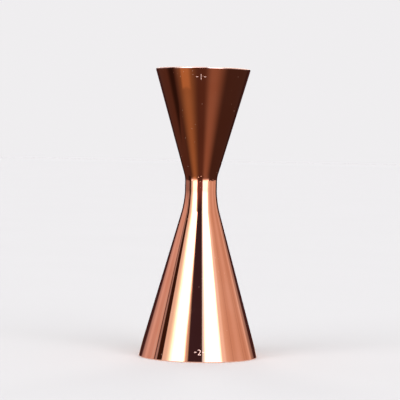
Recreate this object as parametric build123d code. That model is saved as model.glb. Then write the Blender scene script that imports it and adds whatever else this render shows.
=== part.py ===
from build123d import *
import math
import os

# Bar jigger: two thin drawn cups, one for each measure, welded end to end at a narrow waist.
# Millimetres, +Z up. The origin is the middle of the lower rim, which the jigger stands on.
# The larger cup is the lower one, with its mouth down. The capacity marks face -Y.

# Driving dimensions
total_height = 129.0
seam_height = 80.4  # the closed ends of the two cups meet at this height
upper_rim_radius = 21.3
lower_rim_radius = 26.8
neck_radius = 7.15
neck_corner_height = 69.8  # where the lower cone's line would meet the neck's line
neck_blend_radius = 36.0
wall = 0.9
end_corner_radius = 1.75  # outer corner of each closed end
rim_edge_radius = 0.42  # both rims are dressed almost fully round

weld_root_radius = 6.45  # how deep the bead reaches between the two rounded corners
weld_crown = 0.03  # how far the dressed bead stands proud of its edges

mark_stroke = 0.3
mark_depth = 0.08
numeral_height = 2.4
one_stem = 0.2  # where the stem of the 1 stands, right of the numeral's middle
one_flag_run = 0.55
one_flag_drop = 0.5
two_bowl_radius = 0.6
two_bowl_start = 165  # degrees, at the free end of the bowl of the 2
two_bowl_turn = 200
two_foot_spare = 0.05  # how far the foot of the 2 runs past its bowl
dash_length = 0.9
dash_middle = 1.75  # each dash's middle, from the middle of the numeral
upper_mark_drop = 4.3  # middle of the mark, below the upper rim
lower_mark_rise = 4.5  # middle of the mark, above the lower rim
upper_mark_turn = -2.5  # degrees about Z from the front
lower_mark_turn = 1.6

# Worked out from them
upper_slope = (upper_rim_radius - neck_radius) / (total_height - seam_height)
lower_slope = (lower_rim_radius - neck_radius) / neck_corner_height
upper_half_angle = math.atan(upper_slope)
lower_half_angle = math.atan(lower_slope)
upper_wall_across = wall / math.cos(upper_half_angle)  # the wall measured level
lower_wall_across = wall / math.cos(lower_half_angle)
inner_corner_radius = end_corner_radius - wall


def turned(outline):
    # A solid of revolution from a closed outline of (radius, height)
    return revolve(Plane.XZ * make_face(outline), Axis.Z)


def upper_cup():
    floor_height = seam_height + wall
    inner_corner = neck_radius + upper_slope * wall - upper_wall_across
    corners = {
        (0, seam_height): 0,
        (neck_radius, seam_height): end_corner_radius,
        (upper_rim_radius, total_height): rim_edge_radius,
        (upper_rim_radius - upper_wall_across, total_height): rim_edge_radius,
        (inner_corner, floor_height): inner_corner_radius,
        (0, floor_height): 0,
    }
    return turned(FilletPolyline(*corners.keys(), radius=corners.values(), close=True))


def lower_cup():
    roof_height = seam_height - wall
    bore_radius = neck_radius - wall  # the hollow inside the neck
    mouth_radius = lower_rim_radius - lower_wall_across
    bore_corner_height = (mouth_radius - bore_radius) / lower_slope
    corners = {
        (0, seam_height): 0,
        (neck_radius, seam_height): end_corner_radius,
        (neck_radius, neck_corner_height): neck_blend_radius,
        (lower_rim_radius, 0): rim_edge_radius,
        (mouth_radius, 0): rim_edge_radius,
        (bore_radius, bore_corner_height): neck_blend_radius + wall,
        (bore_radius, roof_height): inner_corner_radius,
        (0, roof_height): 0,
    }
    return turned(FilletPolyline(*corners.keys(), radius=corners.values(), close=True))


def waist_weld():
    # The bead fills the groove between the two rounded corners and meets both cups face to face
    corner_run = end_corner_radius / math.tan((math.pi / 2 + upper_half_angle) / 2)
    upper_centre = (neck_radius - corner_run, seam_height + end_corner_radius)
    lower_centre = (neck_radius - end_corner_radius, seam_height - end_corner_radius)
    upper_root_angle = math.degrees(math.acos((weld_root_radius - upper_centre[0]) / end_corner_radius))
    lower_root_angle = math.degrees(math.acos((weld_root_radius - lower_centre[0]) / end_corner_radius))
    upper_edge_angle = math.degrees(upper_half_angle)
    upper_sweep = upper_root_angle - upper_edge_angle
    upper_side = CenterArc(upper_centre, end_corner_radius, -upper_root_angle, upper_sweep)
    lower_side = CenterArc(lower_centre, end_corner_radius, 0, lower_root_angle)
    top_edge = upper_side @ 1
    bottom_edge = lower_side @ 0
    outward = (top_edge - bottom_edge).rotate(Axis.Z, -90).normalized()
    crown = (top_edge + bottom_edge) / 2 + outward * weld_crown
    bead_face = ThreePointArc(bottom_edge, crown, top_edge)
    root = Line(lower_side @ 1, upper_side @ 0)
    return turned(Curve() + [bead_face, upper_side, root, lower_side])


def numeral_one():
    top = numeral_height / 2
    flag_end = (one_stem - one_flag_run, top - one_flag_drop)
    return [Polyline(flag_end, (one_stem, top), (one_stem, -top))]


def numeral_two():
    top = numeral_height / 2
    bowl = CenterArc((0, top - two_bowl_radius), two_bowl_radius, two_bowl_start, -two_bowl_turn)
    foot = Polyline(bowl @ 1, (-two_bowl_radius, -top), (two_bowl_radius + two_foot_spare, -top))
    return [bowl, foot]


def capacity_mark(numeral, height, turn, rim_radius, slope, half_angle):
    # A numeral between two short dashes, as a cutter that sinks into the cone by the mark's depth
    strokes = list(numeral)
    for side in (-1, 1):
        middle = side * dash_middle
        strokes.append(Line((middle - dash_length / 2, 0), (middle + dash_length / 2, 0)))
    outline = Sketch() + [trace(stroke, mark_stroke) for stroke in strokes]
    prism = extrude(Plane.XZ * Pos(0, height) * outline, rim_radius + 1)

    depth_across = mark_depth / math.cos(half_angle)
    band = []
    for rise in (-numeral_height, numeral_height):
        surface_radius = rim_radius + slope * rise
        band.append((surface_radius - depth_across, height + rise))
        band.append((surface_radius + 1, height + rise))
    skin = turned(Polyline(band[0], band[1], band[3], band[2], close=True))
    return Rot(0, 0, turn) * (prism & skin)


upper_mark = capacity_mark(
    numeral_one(),
    total_height - upper_mark_drop,
    upper_mark_turn,
    upper_rim_radius - upper_slope * upper_mark_drop,
    upper_slope,
    upper_half_angle,
)
lower_mark = capacity_mark(
    numeral_two(),
    lower_mark_rise,
    lower_mark_turn,
    lower_rim_radius - lower_slope * lower_mark_rise,
    -lower_slope,
    lower_half_angle,
)

parts = {
    "upper_cup": upper_cup() - upper_mark,
    "lower_cup": lower_cup() - lower_mark,
    "waist_weld": waist_weld(),
}

os.makedirs("parts", exist_ok=True)
for name, part in parts.items():
    export_step(part, f"parts/{name}.step")
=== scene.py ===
import math

import bmesh
import bpy
from mathutils import Matrix, Vector


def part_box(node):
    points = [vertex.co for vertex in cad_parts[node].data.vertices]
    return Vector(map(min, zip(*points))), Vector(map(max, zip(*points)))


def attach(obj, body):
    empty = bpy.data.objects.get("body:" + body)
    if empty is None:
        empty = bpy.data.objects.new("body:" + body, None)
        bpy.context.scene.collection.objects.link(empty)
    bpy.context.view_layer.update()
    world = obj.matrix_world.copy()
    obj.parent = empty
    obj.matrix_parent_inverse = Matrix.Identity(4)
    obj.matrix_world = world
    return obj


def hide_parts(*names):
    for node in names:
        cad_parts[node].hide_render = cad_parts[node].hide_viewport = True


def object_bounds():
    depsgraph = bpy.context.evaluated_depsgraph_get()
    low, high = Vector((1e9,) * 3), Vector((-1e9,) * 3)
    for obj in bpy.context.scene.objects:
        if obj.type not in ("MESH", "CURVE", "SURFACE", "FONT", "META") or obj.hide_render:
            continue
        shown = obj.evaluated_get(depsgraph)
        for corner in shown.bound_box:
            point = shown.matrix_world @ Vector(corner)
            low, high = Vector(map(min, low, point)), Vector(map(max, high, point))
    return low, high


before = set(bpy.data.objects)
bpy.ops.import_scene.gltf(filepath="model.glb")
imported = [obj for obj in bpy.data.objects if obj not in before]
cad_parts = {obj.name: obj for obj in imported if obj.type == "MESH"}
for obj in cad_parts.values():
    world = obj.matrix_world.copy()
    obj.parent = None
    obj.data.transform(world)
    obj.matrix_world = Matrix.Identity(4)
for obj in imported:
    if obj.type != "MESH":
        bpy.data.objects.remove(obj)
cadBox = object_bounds()

millimetre = 0.001
segments = 192  # sides of every turned piece
hair = 0.000002  # how near a vertex must be to a height or radius to count as on it

upperLow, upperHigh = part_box("upper_cup")
lowerLow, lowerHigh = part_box("lower_cup")
weldLow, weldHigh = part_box("waist_weld")


# Camera

cameraSettings = {
    "distance": 0.842,
    "height": 0.0904,  # above the surface that the jigger stands on
    "aimAside": -0.00032,
    "aimHeight": 0.07033,
    "roll": 1.134,  # degrees, which leans the jigger a little to the right
    "lens": 168.96,
}


def addCamera(settings):
    aim = Vector((settings["aimAside"], 0, settings["aimHeight"]))
    place = Vector((0, -settings["distance"], settings["height"]))
    bpy.ops.object.camera_add(location=place)
    camera = bpy.context.active_object
    camera.name = "camera"
    camera.data.lens = settings["lens"]
    camera.data.clip_end = 100
    turn = (aim - place).to_track_quat("-Z", "Y").to_matrix()
    roll = Matrix.Rotation(math.radians(settings["roll"]), 3, "Z")
    camera.rotation_euler = (turn @ roll).to_euler()
    bpy.context.scene.camera = camera


addCamera(cameraSettings)
print("camera placed")


# Shader maths

class Wire:
    # A socket of a node tree that can be used in Python expressions
    def __init__(self, tree, socket=None):
        self.tree = tree
        self.socket = socket

    def node(self, kind, settings=None, sockets=None, output=0):
        made = self.tree.nodes.new(kind)
        for name, value in (settings or {}).items():
            setattr(made, name, value)
        for name, value in (sockets or {}).items():
            if isinstance(value, Wire):
                self.tree.links.new(value.socket, made.inputs[name])
            else:
                made.inputs[name].default_value = value
        return Wire(self.tree, made.outputs[output] if made.outputs else None)

    def math(self, operation, first, second=0.0):
        return self.node("ShaderNodeMath", {"operation": operation}, {0: first, 1: second})

    def __add__(self, other):
        return self.math("ADD", self, other)

    def __radd__(self, other):
        return self.math("ADD", other, self)

    def __sub__(self, other):
        return self.math("SUBTRACT", self, other)

    def __rsub__(self, other):
        return self.math("SUBTRACT", other, self)

    def __mul__(self, other):
        return self.math("MULTIPLY", self, other)

    def __rmul__(self, other):
        return self.math("MULTIPLY", other, self)

    def __truediv__(self, other):
        return self.math("DIVIDE", self, other)

    def __rtruediv__(self, other):
        return self.math("DIVIDE", other, self)


def above(value, start, end):
    # 0 below start and 1 above end, eased between
    return value.node(
        "ShaderNodeMapRange",
        {"interpolation_type": "SMOOTHSTEP"},
        {"Value": value, "From Min": start, "From Max": end},
    )


def between(value, low, high, lowSoft, highSoft):
    return above(value, low - lowSoft, low + lowSoft) * (1 - above(value, high - highSoft, high + highSoft))


def blendColours(mask, under, over):
    return mask.node("ShaderNodeMix", {"data_type": "RGBA"}, {0: mask, 6: under, 7: over}, output=2)


def splitVector(vector):
    made = vector.tree.nodes.new("ShaderNodeSeparateXYZ")
    vector.tree.links.new(vector.socket, made.inputs[0])
    return [Wire(vector.tree, socket) for socket in made.outputs]


def joinVector(x, y, z):
    wire = next(part for part in (x, y, z) if isinstance(part, Wire))
    return wire.node("ShaderNodeCombineXYZ", None, {"X": x, "Y": y, "Z": z})


def noise(vector, scale, detail=2.0, roughness=0.5, distortion=0.0):
    sockets = {
        "Vector": vector,
        "Scale": scale,
        "Detail": detail,
        "Roughness": roughness,
        "Distortion": distortion,
    }
    return vector.node("ShaderNodeTexNoise", None, sockets)


def rings(along, scale, detail):
    settings = {"noise_dimensions": "1D"}
    return along.node("ShaderNodeTexNoise", settings, {"W": along, "Scale": scale, "Detail": detail})


def dots(place, scale, radius, share):
    # round spots of this radius, at random places, in this share of the cells of a grid of this scale
    cell = {"Vector": place, "Scale": scale}
    distance = place.node("ShaderNodeTexVoronoi", None, cell, output=0)
    chance = splitVector(place.node("ShaderNodeTexVoronoi", None, cell, output=1))[0]
    edge = radius * scale
    return (1 - above(distance, edge * 0.4, edge)) * above(chance, 1 - share, 1.001 - share)


def degreesRound(x, y):
    # degrees round from the front, positive towards +X
    return x.math("ARCTAN2", x, 0 - y) * math.degrees(1)


def newMaterial(name):
    material = bpy.data.materials.new(name)
    material.use_nodes = True
    tree = material.node_tree
    tree.nodes.clear()
    return material, Wire(tree)


def finishMaterial(start, shader):
    start.node("ShaderNodeOutputMaterial", None, {"Surface": shader})


# Materials

mirrorCopperLook = {
    "colour": (0.90, 0.400, 0.250, 1),
    "deepColour": (0.87, 0.365, 0.215, 1),
    "lipColour": (0.74, 0.54, 0.50, 1),
    "lipDepth": 0.35 * millimetre,
    "upperLipShare": 0.85,
    "lowerLipShare": 0.35,
    "roughness": 0.035,
    "smudgeRoughness": 0.05,
    "lineRoughness": 0.03,
    "dustColour": (0.78, 0.48, 0.36, 1),
    "dustScale": 700,
    "dustRoughness": 0.6,
    "dustRadius": 0.12 * millimetre,
    "dustShare": 0.20,
    "waver": 0.006 * millimetre,
    "neckWaver": 0.02 * millimetre,
    "neckStart": 0.070,  # the neck's waver comes in round this height and ends at the weld
    "neckSoft": (0.004, 0.002),
    "beadScale": 500,
    "beadRadius": 0.22 * millimetre,  # weld spatter on the neck
    "beadShare": 0.05,
    "beadHeight": 0.03 * millimetre,
}


def makeMirrorCopper(look):
    material, start = newMaterial("mirrorCopper")
    place = start.node("ShaderNodeTexCoord", output=3)
    x, y, z = splitVector(place)
    radius = x.math("SQRT", x * x + y * y)
    roundAndUp = joinVector(x / radius, y / radius, z * 6)  # stretched along the cone

    tone = above(noise(place, 55, 2), 0.35, 0.68)
    colour = blendColours(tone, look["colour"], look["deepColour"])

    lipDepth = look["lipDepth"]
    upperLip = above(z, cadBox[1].z - 2 * lipDepth, cadBox[1].z - lipDepth)
    lowerLip = 1 - above(z, cadBox[0].z + lipDepth, cadBox[0].z + 2 * lipDepth)
    lips = upperLip * look["upperLipShare"] + lowerLip * look["lowerLipShare"]
    colour = blendColours(lips, colour, look["lipColour"])

    smudge = above(noise(place, 70, 4, 0.6, 1.2), 0.56, 0.74)
    drawLines = above(noise(roundAndUp, 60, 3, 0.7), 0.55, 0.8)
    hoops = above(noise(joinVector(x * 30, y * 30, z * 2600), 1, 3, 0.7), 0.6, 0.85)
    lines = drawLines + hoops
    roughness = look["roughness"] + smudge * look["smudgeRoughness"] + lines * look["lineRoughness"]

    dust = dots(place, look["dustScale"], look["dustRadius"], look["dustShare"])
    colour = blendColours(dust, colour, look["dustColour"])

    neckMask = between(z, look["neckStart"], weldHigh.z, *look["neckSoft"])
    waver = noise(place, 95, 1) * look["waver"]
    neckWaver = noise(place, 330, 2) * neckMask * look["neckWaver"]
    beads = dots(place, look["beadScale"], look["beadRadius"], look["beadShare"])
    beads = beads * neckMask * look["beadHeight"]
    height = waver + neckWaver + beads
    normal = start.node("ShaderNodeBump", None, {"Strength": 1.0, "Distance": 1.0, "Height": height})

    shader = start.node("ShaderNodeBsdfPrincipled", None, {
        "Base Color": colour,
        "Metallic": 1 - dust,
        "Roughness": roughness + dust * look["dustRoughness"],
        "Normal": normal,
    })
    finishMaterial(start, shader)
    return material


satinCopperLook = {
    "colour": (0.90, 0.57, 0.44, 1),
    "deepColour": (0.83, 0.49, 0.36, 1),
    "roughness": 0.27,
    "lineRoughness": 0.14,
    "hoopScale": 5200,  # fine turning marks
    "bandScale": 420,  # broader bands of tone
    "groove": 0.004 * millimetre,
}


def makeSatinCopper(look):
    material, start = newMaterial("satinCopper")
    place = start.node("ShaderNodeTexCoord", output=3)
    x, y, z = splitVector(place)
    radius = x.math("SQRT", x * x + y * y)
    alongWall = radius + z
    hoops = rings(alongWall, look["hoopScale"], 3)
    bands = rings(alongWall, look["bandScale"], 2)
    cloud = noise(place, 80, 3, 0.6)
    tone = above(bands * 0.6 + cloud * 0.4, 0.35, 0.7)
    colour = blendColours(tone, look["colour"], look["deepColour"])
    roughness = look["roughness"] + (hoops * 0.6 + cloud * 0.4) * look["lineRoughness"]
    grooves = {"Strength": 1.0, "Distance": look["groove"], "Height": hoops}
    normal = start.node("ShaderNodeBump", None, grooves)
    shader = start.node("ShaderNodeBsdfPrincipled", None, {
        "Base Color": colour,
        "Metallic": 1.0,
        "Roughness": roughness,
        "Normal": normal,
    })
    finishMaterial(start, shader)
    return material


weldCopperLook = {
    "colour": (0.90, 0.400, 0.250, 1),
    "tintColour": (0.78, 0.310, 0.190, 1),
    "roughness": 0.05,
    "pitRoughness": 0.12,
    "ripple": 0.010 * millimetre,
    "pitDepth": 0.045 * millimetre,
    "pitRadius": 0.30 * millimetre,
    "pitShare": 0.45,
    "pitScale": 900,
    "rippleScale": 420,
    "tintScale": 400,
}


def makeWeldCopper(look):
    material, start = newMaterial("weldCopper")
    place = start.node("ShaderNodeTexCoord", output=3)
    ripple = noise(place, look["rippleScale"], 2, 0.5)
    pits = dots(place, look["pitScale"], look["pitRadius"], look["pitShare"])
    tint = above(noise(place, look["tintScale"], 3), 0.45, 0.75)
    colour = blendColours(tint, look["colour"], look["tintColour"])
    height = ripple * look["ripple"] - pits * look["pitDepth"]
    normal = start.node("ShaderNodeBump", None, {"Strength": 1.0, "Distance": 1.0, "Height": height})
    shader = start.node("ShaderNodeBsdfPrincipled", None, {
        "Base Color": colour,
        "Metallic": 1.0,
        "Roughness": look["roughness"] + pits * look["pitRoughness"],
        "Normal": normal,
    })
    finishMaterial(start, shader)
    return material


etchedLook = {
    "colour": (0.95, 0.62, 0.53, 1),
    "bareColour": (0.82, 0.50, 0.42, 1),
    "roughness": 0.42,
    "grain": 0.01 * millimetre,
    "grainScale": 9000,
    "grainRoughness": 0.2,
}


def makeEtchedMark(look):
    material, start = newMaterial("etchedMark")
    place = start.node("ShaderNodeTexCoord", output=3)
    grain = noise(place, look["grainScale"], 3, 0.7)
    colour = blendColours(above(grain, 0.35, 0.7), look["colour"], look["bareColour"])
    normal = start.node("ShaderNodeBump", None, {"Strength": 1.0, "Distance": look["grain"], "Height": grain})
    shader = start.node("ShaderNodeBsdfPrincipled", None, {
        "Base Color": colour,
        "Metallic": 0.5,
        "Roughness": look["roughness"] + grain * look["grainRoughness"],
        "Normal": normal,
    })
    finishMaterial(start, shader)
    return material


mirrorCopper = makeMirrorCopper(mirrorCopperLook)
satinCopper = makeSatinCopper(satinCopperLook)
weldCopper = makeWeldCopper(weldCopperLook)
etchedMark = makeEtchedMark(etchedLook)
print("materials made")


# Modelling helpers

def takeUp(name):
    piece = bpy.context.active_object
    piece.name = name
    piece.data.name = name
    return piece


def addCone(name, low, high, lowRadius, highRadius, ends):
    bpy.ops.object.select_all(action="DESELECT")
    bpy.ops.mesh.primitive_cone_add(
        vertices=segments,
        radius1=lowRadius,
        radius2=highRadius,
        depth=high - low,
        end_fill_type=ends,
        location=(0, 0, (low + high) / 2),
    )
    bpy.ops.object.transform_apply(location=True, rotation=False, scale=False)
    return takeUp(name)


def pick(kind, test):
    # selects, in edit mode, what has all its corners pass the test
    bpy.ops.mesh.select_mode(type=kind)
    bpy.ops.mesh.select_all(action="DESELECT")
    data = bpy.context.edit_object.data
    mesh = bmesh.from_edit_mesh(data)
    for item in {"VERT": mesh.verts, "EDGE": mesh.edges, "FACE": mesh.faces}[kind]:
        corners = [item] if kind == "VERT" else item.verts
        if all(test(corner.co) for corner in corners):
            item.select_set(True)
    bmesh.update_edit_mesh(data)


def onRing(height, radius=None):
    def test(point):
        near = abs(point.z - height) < hair
        return near and (radius is None or abs(point.xy.length - radius) < hair)
    return test


def roundRing(height, radius, offset, steps):
    pick("EDGE", onRing(height, radius))
    bpy.ops.mesh.bevel(
        offset_type="OFFSET",
        offset=offset,
        segments=steps,
        profile=0.5,
        affect="EDGES",
        clamp_overlap=False,
    )


def cutRings(heights):
    for height in heights:
        bpy.ops.mesh.select_all(action="SELECT")
        bpy.ops.mesh.bisect(plane_co=(0, 0, height), plane_no=(0, 0, 1))


def trimMouth(height, outward):
    # cuts both walls level at the mouth and keeps the side away from outward
    bpy.ops.mesh.select_all(action="SELECT")
    bpy.ops.mesh.bisect(plane_co=(0, 0, height), plane_no=(0, 0, outward), clear_outer=True)
    pick("EDGE", onRing(height))
    bpy.ops.mesh.bridge_edge_loops()


def fillDisc(height, radius):
    # turns the flat end's one face into rings of faces round a small fan
    pick("FACE", lambda point: abs(point.z - height) < hair)
    for share in (0.04, 0.26, 0.3, 0.28):
        bpy.ops.mesh.inset(thickness=radius * share, use_even_offset=True)
    bpy.ops.mesh.poke()


def thicken(piece, wall, outside, inside):
    # gives a shell its wall, with one material outside and another inside
    piece.data.materials.append(outside)
    piece.data.materials.append(inside)
    modifier = piece.modifiers.new("wall", "SOLIDIFY")
    modifier.thickness = wall
    modifier.offset = -1
    modifier.use_even_offset = True
    modifier.use_rim = False
    modifier.material_offset = 1
    bpy.ops.object.modifier_apply(modifier="wall")


def smoothPiece(piece, sharpAngle=180):
    bpy.ops.object.shade_smooth_by_angle(angle=math.radians(sharpAngle))
    modifier = piece.modifiers.new("evenShading", "WEIGHTED_NORMAL")
    modifier.mode = "FACE_AREA"
    modifier.weight = 50
    modifier.keep_sharp = True
    bpy.ops.object.modifier_apply(modifier="evenShading")


def cornerReach(radius, insideAngle):
    # how far a rounded corner of this radius reaches along each side
    return radius / math.tan(insideAngle / 2)


# The two cups

cup = {
    "wall": 0.9 * millimetre,
    "neckRadius": 7.15 * millimetre,
    "neckCornerHeight": 69.8 * millimetre,
    "neckBlend": 36.0 * millimetre,
    "endCorner": 1.75 * millimetre,
    "lip": 0.42 * millimetre,
    "spare": 1.5 * millimetre,  # cut off when the mouth is trimmed
    "blendSteps": 28,
    "cornerSteps": 10,
    "lipSteps": 8,
    "wallRings": 9,
}


def coneShape(boxRadius, run):
    # the mouth's radius before its lip is rounded, and the slope and half angle of the cone
    angle = math.atan((boxRadius - cup["neckRadius"]) / run)
    mouthRadius = boxRadius + cup["lip"] * (math.tan(angle) + 1 / math.cos(angle) - 1)
    slope = (mouthRadius - cup["neckRadius"]) / run
    return mouthRadius, slope, math.atan(slope)


def roundLips(height, mouthRadius, halfAngle):
    innerRadius = mouthRadius - cup["wall"] / math.cos(halfAngle)
    outerReach = cornerReach(cup["lip"], math.pi / 2 - halfAngle)
    innerReach = cornerReach(cup["lip"], math.pi / 2 + halfAngle)
    roundRing(height, mouthRadius, outerReach, cup["lipSteps"])
    roundRing(height, innerRadius, innerReach, cup["lipSteps"])


def finishCup(piece, node):
    smoothPiece(piece)
    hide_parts(node)
    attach(piece, "root")


def makeUpperCup():
    low, high = upperLow.z, upperHigh.z
    mouthRadius, slope, halfAngle = coneShape(upperHigh.x, high - low)
    spare = cup["spare"]
    spareRadius = mouthRadius + slope * spare
    piece = addCone("upperCupShell", low, high + spare, cup["neckRadius"], spareRadius, "NGON")
    bpy.ops.object.mode_set(mode="EDIT")
    pick("FACE", lambda point: point.z > high)
    bpy.ops.mesh.delete(type="ONLY_FACE")
    endReach = cornerReach(cup["endCorner"], math.pi / 2 + halfAngle)
    roundRing(low, cup["neckRadius"], endReach, cup["cornerSteps"])
    fillDisc(low, cup["neckRadius"] - cup["endCorner"])
    firstRing = weldHigh.z
    step = (high - firstRing) / cup["wallRings"]
    cutRings([firstRing + step * index for index in range(1, cup["wallRings"])])
    bpy.ops.object.mode_set(mode="OBJECT")
    thicken(piece, cup["wall"], mirrorCopper, satinCopper)
    bpy.ops.object.mode_set(mode="EDIT")
    trimMouth(high, 1)
    roundLips(high, mouthRadius, halfAngle)
    bpy.ops.object.mode_set(mode="OBJECT")
    finishCup(piece, "upper_cup")
    return piece


def makeLowerCup():
    low, high = lowerLow.z, lowerHigh.z
    corner = cup["neckCornerHeight"]
    mouthRadius, slope, halfAngle = coneShape(lowerHigh.x, corner - low)
    spare = cup["spare"]
    spareRadius = mouthRadius + slope * spare
    piece = addCone("lowerCupShell", low - spare, corner, spareRadius, cup["neckRadius"], "NGON")
    bpy.ops.object.mode_set(mode="EDIT")
    pick("FACE", lambda point: point.z < low)
    bpy.ops.mesh.delete(type="ONLY_FACE")
    pick("FACE", lambda point: abs(point.z - corner) < hair)
    bpy.ops.mesh.extrude_region_move(TRANSFORM_OT_translate={"value": (0, 0, high - corner)})
    blendReach = cornerReach(cup["neckBlend"], math.pi - halfAngle)
    roundRing(corner, cup["neckRadius"], blendReach, cup["blendSteps"])
    roundRing(high, cup["neckRadius"], cup["endCorner"], cup["cornerSteps"])
    fillDisc(high, cup["neckRadius"] - cup["endCorner"])
    lastRing = corner - blendReach * math.cos(halfAngle)
    step = (lastRing - low) / cup["wallRings"]
    cutRings([low + step * index for index in range(1, cup["wallRings"])])
    bpy.ops.object.mode_set(mode="OBJECT")
    thicken(piece, cup["wall"], mirrorCopper, satinCopper)
    bpy.ops.object.mode_set(mode="EDIT")
    trimMouth(low, -1)
    roundLips(low, mouthRadius, halfAngle)
    bpy.ops.object.mode_set(mode="OBJECT")
    finishCup(piece, "lower_cup")
    return piece


upperCup = makeUpperCup()
print("upper cup made")
lowerCup = makeLowerCup()
print("lower cup made")


# The weld bead at the waist

bead = {
    "faceRings": 14,
    "cornerRings": 5,
    "rootRadius": 6.45 * millimetre,
    "unevenness": 0.004 * millimetre,
    "seed": 7,
    "sharpAngle": 60,
}


def moveRing(fromHeight, fromRadius, toHeight, toRadius, extrude):
    # moves the selected ring, or one drawn out of it, to a new height and radius
    if extrude:
        bpy.ops.mesh.extrude_edges_move(TRANSFORM_OT_translate={"value": (0, 0, toHeight - fromHeight)})
    else:
        bpy.ops.transform.translate(value=(0, 0, toHeight - fromHeight))
    growth = toRadius / fromRadius
    bpy.ops.transform.resize(value=(growth, growth, 1), center_override=(0, 0, toHeight))


def makeWeldBead():
    low, high = weldLow.z, weldHigh.z
    lowRadius, highRadius = cup["neckRadius"], weldHigh.x
    seam = upperLow.z
    halfAngle = coneShape(upperHigh.x, upperHigh.z - upperLow.z)[2]
    # the face's hollow arc leaves the neck upright and meets the cone
    blendRadius = (high - low) / math.sin(halfAngle)
    piece = addCone("waistWeldBead", low, high, lowRadius, highRadius, "NOTHING")
    bpy.ops.object.mode_set(mode="EDIT")
    rise = (high - low) / bead["faceRings"]
    cutRings([low + rise * index for index in range(1, bead["faceRings"])])
    fullBow = blendRadius * (1 - math.cos(halfAngle))
    for index in range(1, bead["faceRings"]):
        height = low + rise * index
        turn = math.asin((height - low) / blendRadius)
        bow = blendRadius * (1 - math.cos(turn))
        straight = lowRadius + (highRadius - lowRadius) * index / bead["faceRings"]
        shaped = lowRadius + (highRadius - lowRadius) * bow / fullBow
        pick("EDGE", onRing(height, straight))
        moveRing(height, straight, height, shaped, False)

    # each edge follows its cup's rounded corner inwards to the root
    upperCentre = (highRadius - cup["endCorner"] * math.cos(halfAngle), seam + cup["endCorner"])
    lowerCentre = (lowRadius - cup["endCorner"], seam - cup["endCorner"])
    for centre, start, edge, side in (
        (upperCentre, halfAngle, (highRadius, high), -1),
        (lowerCentre, 0, (lowRadius, low), 1),
    ):
        end = math.acos((bead["rootRadius"] - centre[0]) / cup["endCorner"])
        radius, height = edge
        pick("EDGE", onRing(height, radius))
        for index in range(1, bead["cornerRings"] + 1):
            turn = start + (end - start) * index / bead["cornerRings"]
            nextRadius = centre[0] + cup["endCorner"] * math.cos(turn)
            nextHeight = centre[1] + side * cup["endCorner"] * math.sin(turn)
            moveRing(height, radius, nextHeight, nextRadius, True)
            radius, height = nextRadius, nextHeight
    pick("EDGE", lambda point: abs(point.xy.length - bead["rootRadius"]) < hair)
    bpy.ops.mesh.bridge_edge_loops()
    bpy.ops.mesh.select_all(action="SELECT")
    bpy.ops.mesh.normals_make_consistent(inside=False)

    # the dressed face isn't quite even
    def onFace(point):
        return low + rise / 2 < point.z < high - rise / 2 and point.xy.length > lowRadius - hair

    pick("VERT", onFace)
    bpy.ops.transform.vertex_random(offset=bead["unevenness"], normal=1.0, seed=bead["seed"])
    bpy.ops.object.mode_set(mode="OBJECT")
    piece.data.materials.append(weldCopper)
    smoothPiece(piece, bead["sharpAngle"])
    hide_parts("waist_weld")
    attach(piece, "root")


makeWeldBead()
print("weld bead made")


# Capacity marks: a plain numeral between two dashes on each cup

mark = {
    "numeralHeight": 2.4 * millimetre,
    "fontHeight": 0.687,  # a numeral's height in this font, for a size of 1
    "stroke": 0.3 * millimetre,
    "thinning": 0.035 * millimetre,  # taken off each side of a numeral's strokes
    "dashLength": 0.9 * millimetre,
    "dashMiddle": 1.75 * millimetre,
    "proud": 0.012 * millimetre,
    "depth": 0.05 * millimetre,
    "standOff": 0.04,  # in front of the cup, before a mark is laid on it
    "upperDrop": 4.3 * millimetre,  # the mark's middle, below the upper rim
    "lowerRise": 4.5 * millimetre,  # the mark's middle, above the lower rim
    "upperTurn": -2.5,  # degrees round from the front
    "lowerTurn": 1.6,
}


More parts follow.
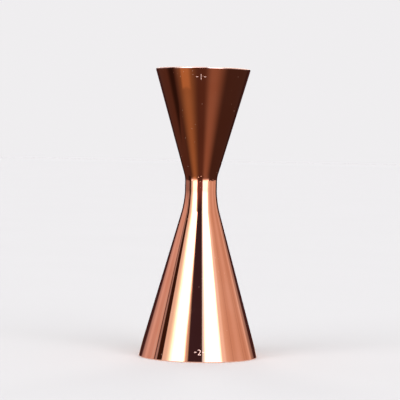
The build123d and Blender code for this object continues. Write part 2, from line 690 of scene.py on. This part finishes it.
def makeCapacityMark(name, numeral, height, turn, cupPiece):
    bpy.ops.object.select_all(action="DESELECT")
    bpy.ops.object.text_add(radius=mark["numeralHeight"] / mark["fontHeight"])
    text = bpy.context.active_object.data
    text.body = numeral
    text.align_x = "CENTER"
    text.resolution_u = 6
    text.offset = -mark["thinning"]
    bpy.ops.object.convert(target="MESH")
    piece = takeUp(name)
    bpy.ops.object.mode_set(mode="EDIT")
    bpy.ops.mesh.select_all(action="SELECT")
    bpy.ops.mesh.remove_doubles(threshold=0.001 * millimetre)
    bpy.ops.transform.translate(value=(0, -mark["numeralHeight"] / 2, 0))
    for side in (-1, 1):
        bpy.ops.mesh.primitive_plane_add(size=1, location=(side * mark["dashMiddle"], 0, 0))
        bpy.ops.transform.resize(
            value=(mark["dashLength"], mark["stroke"], 1),
            center_override=(side * mark["dashMiddle"], 0, 0),
        )
        bpy.ops.mesh.subdivide(number_cuts=3)
    bpy.ops.object.mode_set(mode="OBJECT")
    piece.location = (0, -mark["standOff"], height)
    piece.rotation_euler = (math.pi / 2, 0, 0)
    bpy.ops.object.transform_apply(location=True, rotation=True, scale=True)

    laid = piece.modifiers.new("laidOn", "SHRINKWRAP")
    laid.target = cupPiece
    laid.wrap_method = "PROJECT"
    laid.use_project_y = True
    laid.use_positive_direction = True
    laid.use_negative_direction = False
    laid.offset = mark["proud"]
    bpy.ops.object.modifier_apply(modifier="laidOn")
    sunk = piece.modifiers.new("sunk", "SOLIDIFY")
    sunk.thickness = mark["depth"]
    sunk.offset = -1
    bpy.ops.object.modifier_apply(modifier="sunk")
    bpy.ops.object.mode_set(mode="EDIT")
    bpy.ops.mesh.select_all(action="SELECT")
    bpy.ops.mesh.normals_make_consistent(inside=False)
    bpy.ops.object.mode_set(mode="OBJECT")
    piece.rotation_euler = (0, 0, math.radians(turn))
    bpy.ops.object.transform_apply(location=False, rotation=True, scale=False)

    piece.data.materials.append(etchedMark)
    bpy.ops.object.shade_smooth_by_angle(angle=math.radians(30))
    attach(piece, "root")


upperHeight = upperHigh.z - mark["upperDrop"]
lowerHeight = lowerLow.z + mark["lowerRise"]
makeCapacityMark("upperCapacityMark", "1", upperHeight, mark["upperTurn"], upperCup)
makeCapacityMark("lowerCapacityMark", "2", lowerHeight, mark["lowerTurn"], lowerCup)
print("capacity marks made")


# Floor, and the dark card under the jigger that only its polish sees

floorLook = {
    "size": 60.0,
    "colour": (0.548, 0.550, 0.553, 1),
    "mottle": (0.532, 0.534, 0.537, 1),
    "roughness": 0.8,
}


def makeFloor(look):
    bpy.ops.object.select_all(action="DESELECT")
    bpy.ops.mesh.primitive_plane_add(size=look["size"], location=(0, 0, 0))
    floor = takeUp("floor")
    material, start = newMaterial("paleFloor")
    place = start.node("ShaderNodeTexCoord", output=3)
    colour = blendColours(noise(place, 6, 3), look["colour"], look["mottle"])
    shader = start.node("ShaderNodeBsdfPrincipled", None, {
        "Base Color": colour,
        "Roughness": look["roughness"],
        "Specular IOR Level": 0.0,
    })
    finishMaterial(start, shader)
    floor.data.materials.append(material)
    floor.visible_glossy = False


cardLook = {
    "radius": 1.2,
    "drop": 0.5 * millimetre,
    "ground": (0.060, 0.034, 0.029, 1),
    "front": (0.094, 0.046, 0.034, 1),
    "nearFront": (0.112, 0.056, 0.040, 1),
    "leftSide": (0.088, 0.046, 0.036, 1),
    "leftDark": (0.027, 0.014, 0.011, 1),
    "ends": (0.034, 0.015, 0.012, 1),
    "leftStreak": (0.335, 0.203, 0.100, 1),
    "leftPatch": (0.470, 0.280, 0.130, 1),
    "rightStreak": (0.285, 0.168, 0.123, 1),
    "rearStreak": (0.26, 0.16, 0.105, 1),
    "farBoxes": (2.7, 2.7, 2.8, 1),  # leads on to the soft boxes' feet
    "foot": (0.88, 0.84, 0.83, 1),  # pale like the floor, where the jigger stands
    # where each streak lies: degrees round from the front to its two sides, and how soft each side is
    "groundSpan": (-22, 16, 22, 12),
    "leftSideSpan": (-142, -78, 8, 8),
    "leftDarkSpan": (-100, -80, 9, 5),
    "leftStreakSpan": (-64, -28, 18, 18),
    "leftPatchSpan": (-59, -37, 4, 6),
    "rightStreakSpan": (14, 50, 12, 20),
    "rearSpans": ((146, 172, 8, 6), (-172, -146, 6, 8)),
    "boxSpans": ((-72, -27, 6, 4), (13, 56, 3, 6)),
    "rightEnd": (134, 146),
    "leftEnd": (-152, -142),
    # how far out from the middle a streak comes in or gives way, in metres
    "footEdge": (0.045, 0.130),
    "nearFrontEdge": (0.140, 0.180),
    "leftDarkEdge": (0.262, 0.285),
    "patchEdge": (0.1945, 0.1975),
    "patchLean": 0.0011,  # how much nearer the patch's edge comes for each degree round
    "rearEdge": (0.20, 0.26),
    "boxEdge": (0.26, 1.0),
}


def makeCard(look):
    bpy.ops.object.select_all(action="DESELECT")
    bpy.ops.mesh.primitive_circle_add(
        vertices=96, radius=look["radius"], fill_type="NGON", location=(0, 0, -look["drop"])
    )
    card = takeUp("darkCard")
    material, start = newMaterial("darkCard")
    place = start.node("ShaderNodeTexCoord", output=3)
    x, y, z = splitVector(place)
    reach = x.math("SQRT", x * x + y * y)
    turn = degreesRound(x, y)
    front = blendColours(above(reach, *look["nearFrontEdge"]), look["nearFront"], look["front"])
    colour = blendColours(between(turn, *look["groundSpan"]), look["ground"], front)
    colour = blendColours(between(turn, *look["leftSideSpan"]), colour, look["leftSide"])
    dark = between(turn, *look["leftDarkSpan"]) * above(reach, *look["leftDarkEdge"])
    colour = blendColours(dark, colour, look["leftDark"])
    ends = above(turn, *look["rightEnd"]) + 1 - above(turn, *look["leftEnd"])
    colour = blendColours(ends, colour, look["ends"])
    colour = blendColours(between(turn, *look["leftStreakSpan"]), colour, look["leftStreak"])
    leaned = reach + turn * look["patchLean"]
    patch = between(turn, *look["leftPatchSpan"]) * above(leaned, *look["patchEdge"])
    colour = blendColours(patch, colour, look["leftPatch"])
    colour = blendColours(between(turn, *look["rightStreakSpan"]), colour, look["rightStreak"])
    rear = between(turn, *look["rearSpans"][0]) + between(turn, *look["rearSpans"][1])
    colour = blendColours(rear * (1 - above(reach, *look["rearEdge"])), colour, look["rearStreak"])
    boxes = between(turn, *look["boxSpans"][0]) + between(turn, *look["boxSpans"][1])
    colour = blendColours(boxes * above(reach, *look["boxEdge"]), colour, look["farBoxes"])
    colour = blendColours(1 - above(reach, *look["footEdge"]), colour, look["foot"])
    shader = start.node("ShaderNodeEmission", None, {"Color": colour, "Strength": 1.0})
    finishMaterial(start, shader)
    material.cycles.emission_sampling = "NONE"
    card.data.materials.append(material)
    card.visible_camera = False
    card.visible_diffuse = False
    card.visible_shadow = False
    card.visible_transmission = False


makeFloor(floorLook)
makeCard(cardLook)
print("floor made")


# Studio light: soft boxes and fill panels all round, as a plain world

noTop = (90, 91)  # rises of a panel that goes on overhead

studio = {
    "backdrop": (0.866, 0.853, 0.866, 1),  # as bright as the far floor, so no horizon shows
    "surroundings": (0.055, 0.022, 0.023, 1),
    "below": (0.060, 0.034, 0.029, 1),
    "horizon": (-16, -4),  # degrees of rise over which the dark below gives way
    # each panel: where it stands round the jigger, how soft its two sides are, over which rises it comes in
    # and gives way again, its light
    "panels": [
        ("rightFill", (52, 131), (4, 3), (-6, -2), noTop, (0.69, 0.57, 0.52)),
        ("rightTail", (128, 141), (2, 3), (-1, 10), noTop, (0.48, 0.40, 0.38)),
        ("rightWarm", (50, 68), (4, 7), (-6, -2), noTop, (0.83, 0.76, 0.72)),
        ("rightSheen", (86, 99), (5, 5), (-6, -2), noTop, (0.77, 0.67, 0.65)),
        ("rightDip", (109, 115), (3, 3), (-6, -2), noTop, (0.61, 0.47, 0.41)),
        ("rightBand", (121.5, 127.5), (1.5, 1.5), (-6, -2), noTop, (0.84, 0.76, 0.74)),
        ("rightLine", (75.5, 76.7), (0.5, 0.5), (-6, -2), noTop, (0.55, 0.44, 0.40)),
        ("rightHair", (104.3, 105.5), (0.5, 0.5), (-6, -2), noTop, (0.52, 0.40, 0.36)),
        ("leftFill", (-139, -95.5), (5, 1.5), (-12, 16), noTop, (0.70, 0.57, 0.58)),
        ("leftSheen", (-127, -117), (4, 4), (-12, 16), noTop, (0.78, 0.67, 0.69)),
        ("leftBand", (-104, -98), (2, 2), (-12, 16), noTop, (0.70, 0.66, 0.71)),
        ("leftLine", (-93, -87.8), (0.6, 0.6), (-4, 2), noTop, (0.42, 0.40, 0.46)),
        ("leftDark", (-87.8, -76), (0.6, 1.2), (-6, -2), noTop, (0.042, 0.020, 0.012)),
        ("leftGlow", (-75.5, -50), (0.9, 4), (-24, 12), noTop, (0.90, 1.00, 1.05)),
        ("leftBloom", (-66, -50), (3.5, 4), (-24, 12), noTop, (1.08, 1.40, 1.38)),
        ("leftTail", (-32, -18.5), (4, 3.5), (-24, 12), noTop, (0.70, 0.66, 0.60)),
        ("rightGlow", (48, 59.5), (2, 3), (-24, 12), noTop, (1.05, 1.18, 1.29)),
        ("frontGap", (-20, 14), (2, 2), (0, 24), noTop, (0.045, 0.030, 0.048)),
        ("frontLow", (-40, 40), (10, 10), (-20, -8), (0, 24), (0.20, 0.08, 0.08)),
    ],
    "boxLight": (4.6, 4.6, 4.8, 1),
    "boxRim": (0.98, 1.50, 1.95, 1),
    "boxFoot": (-24, 12),
    "leftBox": ((-56.5, -27.5), (8.5, 3.5)),
    "leftBoxLean": (25, 1.5),  # above this rise its side leans by this many degrees for each degree
    "rightBox": ((15, 49), (2.5, 3.5)),
    "rightBoxRim": ((9.5, 20), (1.4, 3)),
    "rearPanels": [
        ((148, 176), (3, 2), (3.0, 2.9, 2.8)),
        ((-172, -150), (2, 3), (3.0, 2.9, 2.8)),
    ],
    "rearFoot": (13, 19),
    "overhead": (1.25, 1.22, 1.20, 1),
    "overheadEdge": (48, 66),
}


def makeStudio(settings):
    world = bpy.data.worlds.new("studio")
    bpy.context.scene.world = world
    world.use_nodes = True
    world.node_tree.nodes.clear()
    start = Wire(world.node_tree)
    x, y, z = splitVector(start.node("ShaderNodeTexCoord", output=0))
    turn = degreesRound(x, y)
    rise = x.math("ARCSINE", z) * math.degrees(1)

    colour = blendColours(above(rise, *settings["horizon"]), settings["below"], settings["surroundings"])
    for name, span, soft, foot, top, light in settings["panels"]:
        mask = between(turn, *span, *soft) * above(rise, *foot) * (1 - above(rise, *top))
        colour = blendColours(mask, colour, (*light, 1))

    upright = above(rise, *settings["boxFoot"])
    leanStart, leanRate = settings["leftBoxLean"]
    leaned = turn - rise.math("MAXIMUM", rise - leanStart, 0.0) * leanRate
    (boxStart, boxEnd), (startSoft, endSoft) = settings["leftBox"]
    leftBox = above(turn, boxStart - startSoft, boxStart + startSoft)
    leftBox = leftBox * (1 - above(leaned, boxEnd - endSoft, boxEnd + endSoft))
    rightRim = between(turn, *settings["rightBoxRim"][0], *settings["rightBoxRim"][1])
    rightBox = between(turn, *settings["rightBox"][0], *settings["rightBox"][1])
    colour = blendColours(leftBox * upright, colour, settings["boxLight"])
    colour = blendColours(rightRim * upright, colour, settings["boxRim"])
    colour = blendColours(rightBox * upright, colour, settings["boxLight"])

    for span, soft, light in settings["rearPanels"]:
        mask = between(turn, *span, *soft) * above(rise, *settings["rearFoot"])
        colour = blendColours(mask, colour, (*light, 1))
    colour = blendColours(above(rise, *settings["overheadEdge"]), colour, settings["overhead"])

    seen = start.node("ShaderNodeLightPath", output=0)
    colour = blendColours(seen, colour, settings["backdrop"])
    light = start.node("ShaderNodeBackground", None, {"Color": colour, "Strength": 1.0})
    start.node("ShaderNodeOutputWorld", None, {"Surface": light})


makeStudio(studio)
bpy.context.scene.view_settings.view_transform = "Standard"
print("studio light made")
